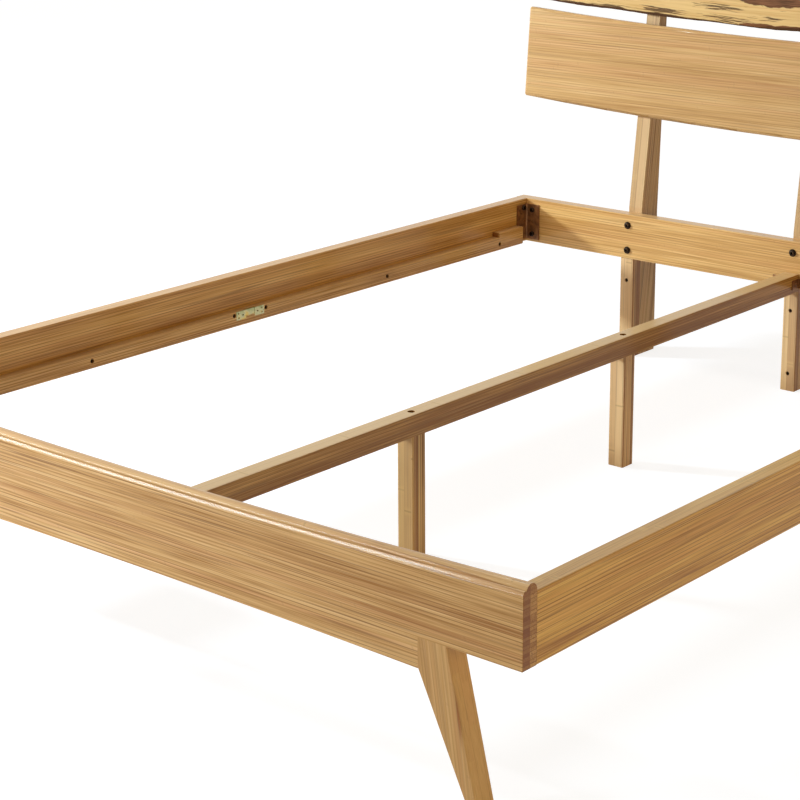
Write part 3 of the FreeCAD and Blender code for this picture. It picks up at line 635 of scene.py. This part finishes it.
@dataclass
class BedBoards:
    """The bamboo pieces, each with the way its strips run and how its boards look."""

    leg_slant: float = 8.0
    along_bed: tuple[str, ...] = ("side_rail_left", "side_rail_right", "slat_cleat_left", "slat_cleat_right",
                                  "slat_stops_left", "slat_stops_right")
    across_bed: tuple[str, ...] = ("foot_panel", "head_rail")
    upright: tuple[str, ...] = ("center_leg_front", "center_leg_rear", "post_shoulder_left",
                                "post_shoulder_center", "post_shoulder_right", "foot_leg_tenons")
    raked: tuple[str, ...] = ("headboard_post_left", "headboard_post_center", "headboard_post_right")
    foot_shape: FootPanel = FootPanel()
    # These looks are partly each board's own tone and partly painted light and shade: the head rail lighter
    # and the lower panel darker, the right rail and the front centre leg warmer, the front centre leg darker
    # as if shaded, the beam's sides darker than its pale top, and the posts' fronts darker and their sides
    # lighter as if lit from the floor
    post_look: dict[str, Any] = field(default_factory=lambda: {"shade": 0.85, "lightness": 0.5})
    looks: dict[str, dict[str, Any]] = field(default_factory=lambda: {
        "side_rail_left": {"shade": 1.06, "blueness": 0.95},
        "side_rail_right": {"shade": 1.1, "blueness": 0.76, "contrast": 1.15},
        "center_beam": {"shade": 0.93, "blueness": 0.85, "lightness": -0.25},
        "foot_panel": {"shade": 1.04},
        "head_rail": {"shade": 1.12, "blueness": 0.95, "contrast": 0.75},
        "center_leg_front": {"shade": 0.90, "blueness": 0.85, "lightness": -0.12},
        "center_leg_rear": {"shade": 0.98, "lightness": -0.1},
        "headboard_lower_panel": {"shade": 0.905, "blueness": 1.01, "contrast": 0.6, "coat_roughness": 0.26},
        "foot_leg_left": {"contrast": 0.42},
        "foot_leg_right": {"contrast": 0.42, "scars": ((135.0, 95.0, 62.0, 4.5),)}})

    def finishes(self) -> list[LaminatedBamboo]:
        """Lists the finish of every bamboo piece.

        Returns:
            One finish for each node, named after it.
        """
        x, y, z = (1.0, 0.0, 0.0), (0.0, 1.0, 0.0), (0.0, 0.0, 1.0)
        up_rake = (0.0, math.sin(RAKE), math.cos(RAKE))
        into_rake = (0.0, math.cos(RAKE), -math.sin(RAKE))
        found = [(name, y, z, x, Stock.BOARD) for name in self.along_bed]
        found.append(("center_beam", y, z, x, Stock.BEAM))
        found += [(name, x, z, y, Stock.BOARD) for name in self.across_bed]
        found += [(name, z, y, x, Stock.POST) for name in self.upright]
        found += [(name, up_rake, into_rake, x, Stock.POST) for name in self.raked]
        found.append(("headboard_lower_panel", x, up_rake, into_rake, Stock.BOARD))
        for name, side in (("foot_leg_left", -1), ("foot_leg_right", 1)):
            slant = math.radians(self.leg_slant) * side
            found.append((name, (-math.sin(slant), 0.0, math.cos(slant)),
                          (math.cos(slant), 0.0, math.sin(slant)), y, Stock.LEG))
        looks = {**dict.fromkeys(self.raked, self.post_look), **self.looks}
        # Each piece has its own seed, so no two show the same strips
        return [LaminatedBamboo(name, grain, strip, ply, tuple(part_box(name)[0]), stock,
                                seed=3.0 + 1.7 * place, **looks.get(name, {}))
                for place, (name, grain, strip, ply, stock) in enumerate(found)]

    def build(self) -> None:
        """Dresses every bamboo node, and draws the foot panel anew."""
        for finish in self.finishes():
            if finish.name == "foot_panel":
                self.foot_shape.build(finish.material())
            else:
                dress(finish.name, finish.material())


@dataclass(frozen=True)
class Fastener:
    """A seat and a direction read from one solid of a fastener node."""

    seat: Vector
    direction: Vector
    length: float


def solids_of(name: str) -> list[list[Vector]]:
    """Splits a CAD node into the corner points of its separate solids.

    Args:
        name: The node's name.

    Returns:
        The points of each solid.
    """
    mesh = bmesh.new()
    mesh.from_mesh(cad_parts[name].data)
    bmesh.ops.remove_doubles(mesh, verts=mesh.verts, dist=SAME_POINT)
    solids, taken = [], set()
    for seed in mesh.verts:
        points, queue = [], [seed]
        while queue:
            vertex = queue.pop()
            if vertex not in taken:
                taken.add(vertex)
                points.append(vertex.co.copy())
                queue += [edge.other_vert(vertex) for edge in vertex.link_edges]
        if points:
            solids.append(points)
    mesh.free()
    return solids


def fasteners_of(name: str, ways: list[Vector], head_height: float) -> list[Fastener]:
    """Reads the seat and direction of every bolt or screw of a node.

    Args:
        name: The node's name.
        ways: The directions that its shanks may run in.
        head_height: The height of a head, in metres.

    Returns:
        One fastener for each solid.
    """
    found = []
    for points in solids_of(name):
        middle = sum(points, Vector()) / len(points)
        spans = []
        for way in ways:
            steps = [(point - middle).dot(way) for point in points]
            reach = [((point - middle) - way * step).length for point, step in zip(points, steps)]
            near = max(size for size, step in zip(reach, steps) if step < min(steps) + SAME_PLANE)
            far = max(size for size, step in zip(reach, steps) if step > max(steps) - SAME_PLANE)
            spans.append((near - far, max(steps) - min(steps), way, min(steps)))
        _, length, way, start = max(spans, key=lambda span: (round(span[1], 5), span[0]))
        top = middle + way * start
        crown = [point for point in points if (point - top).dot(way) < SAME_PLANE]
        centre = sum(crown, Vector()) / len(crown)
        found.append(Fastener(centre + way * head_height, way, length - head_height))
    return found


def hexagon_reach(turn: float) -> float:
    """Gives how far a hexagon of unit width across its flats reaches at an angle."""
    return 0.5 / math.cos((turn + math.pi / 6) % (math.pi / 3) - math.pi / 6)


@dataclass(frozen=True)
class SocketBolt:
    """A round-headed socket bolt or screw, drawn at every seat of its node, in mm.

    The socket narrows to its draft, a share of its width, and opens by its chamfer above a lip, a share of
    the head's height. The dome is the share of the head that is rounded, and the tip's length and width are
    shares of the shank's radius.
    """

    head_radius: float
    head_height: float
    shank_radius: float
    socket_width: float
    socket_depth: float
    dome: float = 0.35
    sides: int = 24
    socket_draft: float = 0.96
    socket_lip: float = 0.06
    socket_chamfer: float = 1.16
    dome_steps: tuple[float, ...] = (0.0, 0.35, 0.7, 1.0)
    tip_length: float = 0.3
    tip_width: float = 0.7

    def ring(self, mesh: BMesh, radius: float, height: float, hexagon: bool = False) -> list[BMEdge]:
        """Adds one closed ring of edges.

        Args:
            mesh: The mesh that gets the ring.
            radius: Its radius, or half its width across flats.
            height: Its height along the bolt.
            hexagon: Whether it is six-sided.

        Returns:
            The ring's edges.
        """
        made = bmesh.ops.create_circle(mesh, cap_ends=False, segments=self.sides, radius=1.0)["verts"]
        for vertex in made:
            turn = math.atan2(vertex.co.y, vertex.co.x)
            size = (2 * radius * hexagon_reach(turn) if hexagon else radius) * MM
            vertex.co = Vector((math.cos(turn) * size, math.sin(turn) * size, height * MM))
        return list(dict.fromkeys(edge for vertex in made for edge in vertex.link_edges))

    def shape(self, length: float) -> BMesh:
        """Builds the bolt along Z, with its seat at the origin and its head below it.

        Args:
            length: The shank's length.

        Returns:
            The closed mesh.
        """
        mesh = bmesh.new()
        top, socket, shank = -self.head_height, self.socket_width / 2, self.shank_radius
        inner = self.head_radius * (1 - self.dome * 0.5)
        rings = [self.ring(mesh, socket * self.socket_draft, top + self.socket_depth, True),
                 self.ring(mesh, socket, top + self.head_height * self.socket_lip, True),
                 self.ring(mesh, socket * self.socket_chamfer, top)]
        for turn in (share * math.pi / 2 for share in self.dome_steps):
            rings.append(self.ring(mesh, inner + (self.head_radius - inner) * math.sin(turn),
                                   top + self.head_height * self.dome * (1 - math.cos(turn))))
        rings += [self.ring(mesh, self.head_radius, 0.0), self.ring(mesh, shank, 0.0),
                  self.ring(mesh, shank, length - shank * self.tip_length),
                  self.ring(mesh, shank * self.tip_width, length)]
        for first, second in zip(rings, rings[1:]):
            bmesh.ops.bridge_loops(mesh, edges=first + second)
        bmesh.ops.holes_fill(mesh, edges=[edge for edge in mesh.edges if edge.is_boundary], sides=0)
        bmesh.ops.recalc_face_normals(mesh, faces=mesh.faces)
        return mesh

    def build(self, node: str, name: str, ways: list[Vector], material: Material, slot: str) -> None:
        """Replaces a node's fasteners with drawn ones.

        Args:
            node: The CAD node.
            name: The new piece's name.
            ways: The directions that the shanks may run in.
            material: The piece's material.
            slot: A material slot's name, which is not used.
        """
        whole = bmesh.new()
        for item in fasteners_of(node, ways, self.head_height * MM):
            single = self.shape(item.length / MM)
            turn = Vector((0, 0, 1)).rotation_difference(item.direction).to_matrix().to_4x4()
            single.transform(Matrix.Translation(item.seat) @ turn)
            data = bpy.data.meshes.new("part")
            single.to_mesh(data)
            whole.from_mesh(data)
            bpy.data.meshes.remove(data)
            single.free()
        piece = finish_piece(whole, name, material, 35)
        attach(piece, BODY)
        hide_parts(node)


def eased(values: tuple[float, ...] | list[float], along: float) -> float:
    """Reads a value between evenly spaced ones, easing from each to the next.

    Args:
        values: The values from the left end to the right one.
        along: From 0 at the left end to 1 at the right one.

    Returns:
        The value there.
    """
    place = min(max(along, 0.0), 1.0) * (len(values) - 1)
    low = min(int(place), len(values) - 2)
    part = place - low
    ease = part * part * (3 - 2 * part)
    return values[low] * (1 - ease) + values[low + 1] * ease


@dataclass
class LiveEdgeSlab:
    """The upper headboard panel: a sawn slab with both long edges as grown, in mm.

    Its edges wander by shares of the wave, with bark lumps about 14 mm long on top. The wane is the height
    over which its front falls away to an edge.
    """

    half_length: float = 815.0
    end_lean: float = 6.0
    end_rise: float = 25.0
    start: float = 461.0
    height: float = 115.0
    thickness: float = 22.0
    wave: float = 1.6
    rake_foot: Pair = (1008.14, 371.0)
    bottom_shares: tuple[float, ...] = (0.3, -0.6, 0.9, -0.2, 0.5, -1.0, 0.4, 1.0, -0.5, 0.2, -0.9, 0.6, -0.3)
    top_shares: tuple[float, ...] = (-0.4, 0.5, -0.2, -0.8, 0.3, 0.9, 0.1, -0.7, 0.4, 0.8, -0.5, -0.1, 0.4)
    steps: int = 326
    rows: int = 14
    wane: float = 5.0
    wane_slope: float = 0.9
    lump_count: int = 117
    lump_height: float = 0.4
    luck: random.Random = field(default_factory=lambda: random.Random(11))

    def lumps(self) -> list[float]:
        """Lists the heights of the bark lumps along one edge."""
        return [self.luck.uniform(-self.lump_height, self.lump_height) for _ in range(self.lump_count)]

    def build(self, material: Material) -> None:
        """Builds the slab and lets it stand for its CAD node.

        Args:
            material: The slab's wood.
        """
        mesh = bmesh.new()
        bmesh.ops.create_grid(mesh, x_segments=self.steps, y_segments=self.rows, size=1.0)
        lift = bmesh.ops.extrude_face_region(mesh, geom=mesh.faces[:])
        back = {item for item in lift["geom"] if isinstance(item, BMVert)}
        uv = mesh.loops.layers.uv.new("along_and_up")
        low_lumps, high_lumps = self.lumps(), self.lumps()
        up = Vector((0, math.sin(RAKE), math.cos(RAKE)))
        foot = Vector((0, *self.rake_foot))
        shares = {}
        for vertex in mesh.verts:
            across, rise = vertex.co.x, (vertex.co.y + 1) / 2
            shares[vertex] = rise
            along = (across + 1) / 2
            x = across * (self.half_length + (rise - 0.5) * self.end_lean)
            sweep = self.end_rise * (x / self.half_length) ** 2
            low = self.wave * eased(self.bottom_shares, along) + eased(low_lumps, along)
            high = self.height + self.wave * eased(self.top_shares, along) + eased(high_lumps, along)
            deep = 0.0 if vertex in back else self.thickness
            edge = min(rise, 1 - rise) * self.height
            if edge < self.wane and vertex not in back:
                deep -= (self.wane - edge) * self.wane_slope
            step = self.start + sweep + low + (high - low) * rise
            vertex.co = (foot + Vector((x, 0, 0)) + up * step + TO_FRONT * deep) * MM
        for loop in (loop for face in mesh.faces for loop in face.loops):
            loop[uv].uv = (loop.vert.co.x, shares[loop.vert])
        bmesh.ops.recalc_face_normals(mesh, faces=mesh.faces)
        piece = finish_piece(mesh, "live_edge_slab", material, 50)
        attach(piece, BODY)
        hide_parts("headboard_upper_panel")


@dataclass
class Fittings:
    """The steel of the bed: brackets, plates, washers, bolts and screws."""

    brackets: tuple[str, ...] = ("corner_bracket_head_left", "corner_bracket_head_right",
                                 "corner_bracket_foot_left", "corner_bracket_foot_right",
                                 "beam_brackets_head", "beam_brackets_foot")
    plates: tuple[str, ...] = ("ledge_plate_left", "ledge_plate_right")
    bolt: SocketBolt = SocketBolt(6.5, 4.5, 4.0, 5.0, 2.8)
    screw: SocketBolt = SocketBolt(4.5, 3.0, 2.5, 3.2, 1.9, sides=18)
    small: SocketBolt = SocketBolt(4.2, 1.8, 2.2, 2.6, 1.1, dome=0.8, sides=18)

    def build(self) -> None:
        """Dresses the sheet steel and replaces the bolts and screws."""
        bronze, black, zinc = [
            skin.material() for skin in (BRONZED_STEEL, BLACK_OXIDE_STEEL, YELLOW_ZINC_STEEL)]
        for name in self.brackets:
            dress(name, bronze)
        for name in self.plates:
            dress(name, zinc)
        dress("head_rail_washers", black)
        x, y, z = Matrix.Identity(3)
        for kind, node, name, ways in (
                (self.bolt, "corner_bolts", "corner_socket_bolts", [x, -x, y, -y]),
                (self.bolt, "head_rail_bolts", "rail_socket_bolts", [y]),
                (self.bolt, "beam_bolts", "beam_socket_bolts", [-z]),
                (self.screw, "cleat_screws_left", "ledge_screws_left", [-x]),
                (self.screw, "cleat_screws_right", "ledge_screws_right", [x]),
                (self.screw, "shoulder_screws", "shoulder_socket_screws", [y]),
                (self.screw, "panel_screws", "panel_socket_screws", [TO_FRONT])):
            kind.build(node, name, ways, black, "black_steel")
        self.small.build("beam_bracket_screws", "beam_angle_screws", [x, -x, y, -y], bronze, "bronzed_steel")


@dataclass(frozen=True)
class Softbox:
    """A rectangular lamp: where it hangs, what it faces, its width and height, its watts and its tint."""

    name: str
    place: Triple
    target: Triple
    size: Pair
    power: float
    tint: Triple

    def hang(self) -> None:
        """Hangs the lamp."""
        data = bpy.data.lights.new(self.name, "AREA")
        data.shape = "RECTANGLE"
        data.size, data.size_y = self.size
        data.energy = self.power
        data.color = self.tint
        lamp = bpy.data.objects.new(self.name, data)
        way = Vector(self.target) - Vector(self.place)
        lamp.matrix_world = (Matrix.Translation(self.place)
                             @ way.to_track_quat("-Z", "Y").to_matrix().to_4x4())
        bpy.context.scene.collection.objects.link(lamp)


@dataclass
class Studio:
    """The floor, the lamps, the surroundings and the camera."""

    camera_place: Triple = (2.4092, -3.2272, 1.4713)
    camera_angles: Triple = (40.61, 15.21, 0.35)
    camera_lens: float = 95.4
    camera_shift: float = -0.10
    sky_strength: float = 0.2
    sky_colour: str = "#FFE095"
    floor_half: float = 40.0
    floor_colour: str = "#E6E4E0"
    floor_faint: Triple = (0.29, 0.29, 0.34)
    softboxes: tuple[Softbox, ...] = (
        Softbox("key", (-1.6, -4.06, 0.975), (0.0, 0.0, 0.35), (0.6, 0.4), 40, (0.87, 1.0, 1.06)),
        Softbox("strip", (-1.75, -2.29, 1.84), (-1.75, -2.15, 0.36), (1.9, 0.12), 35, (0.95, 1.0, 1.02)),
        Softbox("far", (-4.2, -1.6, 1.9), (0.0, 0.6, 0.35), (0.4, 0.35), 246, (0.81, 1.0, 1.05)),
        Softbox("above", (-1.2, 0.6, 3.2), (0.0, 0.0, 0.3), (1.0, 1.0), 21, (1.0, 0.97, 0.8)),
        Softbox("fill", (3.9, -1.5, 0.6), (0.7, -0.2, 0.3), (1.6, 0.6), 27, (1.0, 0.84, 0.28)),
        Softbox("fill_back", (4.2, 0.8, 1.3), (0.6, 0.2, 0.3), (1.6, 1.2), 8, (1.0, 0.62, 0.22)))

    def camera(self) -> None:
        """Places the camera where the photograph was taken from, by its turn, tilt and roll."""
        turn, tilt, roll = [math.radians(angle) for angle in self.camera_angles]
        ahead = Vector((-math.sin(turn) * math.cos(tilt), math.cos(turn) * math.cos(tilt), -math.sin(tilt)))
        level = Vector((math.cos(turn), math.sin(turn), 0))
        down = ahead.cross(level)
        right = level * math.cos(roll) + down * math.sin(roll)
        below = down * math.cos(roll) - level * math.sin(roll)
        data = bpy.data.cameras.new("camera")
        data.sensor_width = 36
        data.lens = self.camera_lens
        data.shift_y = self.camera_shift
        data.clip_end = 200
        camera = bpy.data.objects.new("camera", data)
        camera.matrix_world = (Matrix.Translation(self.camera_place)
                               @ Matrix((right, -below, -ahead)).transposed().to_4x4())
        bpy.context.scene.collection.objects.link(camera)
        bpy.context.scene.camera = camera

    def seen(self, tree: Tree) -> Node:
        """Adds a node that gives one where the camera, a reflection or a clear material sees a surface."""
        rays = tree.add("LightPath").outputs
        seen = tree.add("Math", {0: rays["Is Camera Ray"], 1: rays["Is Glossy Ray"]}, operation="MAXIMUM")
        return tree.add("Math", {0: seen, 1: rays["Is Transmission Ray"]}, operation="MAXIMUM")

    def surroundings(self) -> None:
        """Lights the room evenly and shows it white to the camera and in reflections."""
        tree = Tree(bpy.data.worlds.new("studio"))
        bpy.context.scene.world = tree.owner
        seen = self.seen(tree)
        strength = tree.add("MapRange", {0: seen, 3: self.sky_strength, 4: 1.0})
        hue = tree.add("Mix", {0: seen, 6: linear(self.sky_colour), 7: WHITE}, **RGBA)
        tree.add("OutputWorld", {0: tree.add("Background", {0: hue, 1: strength})})

    def floor(self) -> None:
        """Lays a plain pale floor that keeps a faint shadow of the bed."""
        tree = Tree(bpy.data.materials.new("pale_floor"))
        seen = self.seen(tree)
        reach = tree.add("VectorMath", {0: tree.add("TexCoord").outputs["Object"]}, operation="LENGTH")
        # Lamps light only the first metres, so the glow makes up for them further out
        level = tree.add("MapRange", {0: reach, 1: 1.5, 2: 6.0, 3: 0.84, 4: 0.97}, **SMOOTH)
        glow = tree.add("Emission", {0: WHITE, 1: level})
        faint = tree.add("BsdfDiffuse", {0: (*self.floor_faint, 1.0)})
        shown = tree.add("AddShader", {0: glow, 1: faint})
        plain = tree.add("BsdfDiffuse", {0: linear(self.floor_colour)})
        tree.add("OutputMaterial", {0: tree.add("MixShader", {0: seen, 1: plain, 2: shown})})
        mesh = bmesh.new()
        bmesh.ops.create_grid(mesh, x_segments=1, y_segments=1, size=self.floor_half)
        piece = finish_piece(mesh, "studio_floor", tree.owner, 30)

    def build(self) -> None:
        """Sets up the whole studio."""
        bpy.context.scene.view_settings.view_transform = "Standard"
        self.camera()
        self.surroundings()
        self.floor()
        for softbox in self.softboxes:
            softbox.hang()
        log.info("studio ready")


def main() -> None:
    """Builds the studio and dresses the bed, piece by piece."""
    logging.basicConfig(level=logging.INFO, format="%(message)s")
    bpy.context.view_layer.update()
    Studio().build()
    BedBoards().build()
    LiveEdgeSlab().build(LiveEdgeWood().material())
    Fittings().build()


if __name__ == "__main__":
    main()
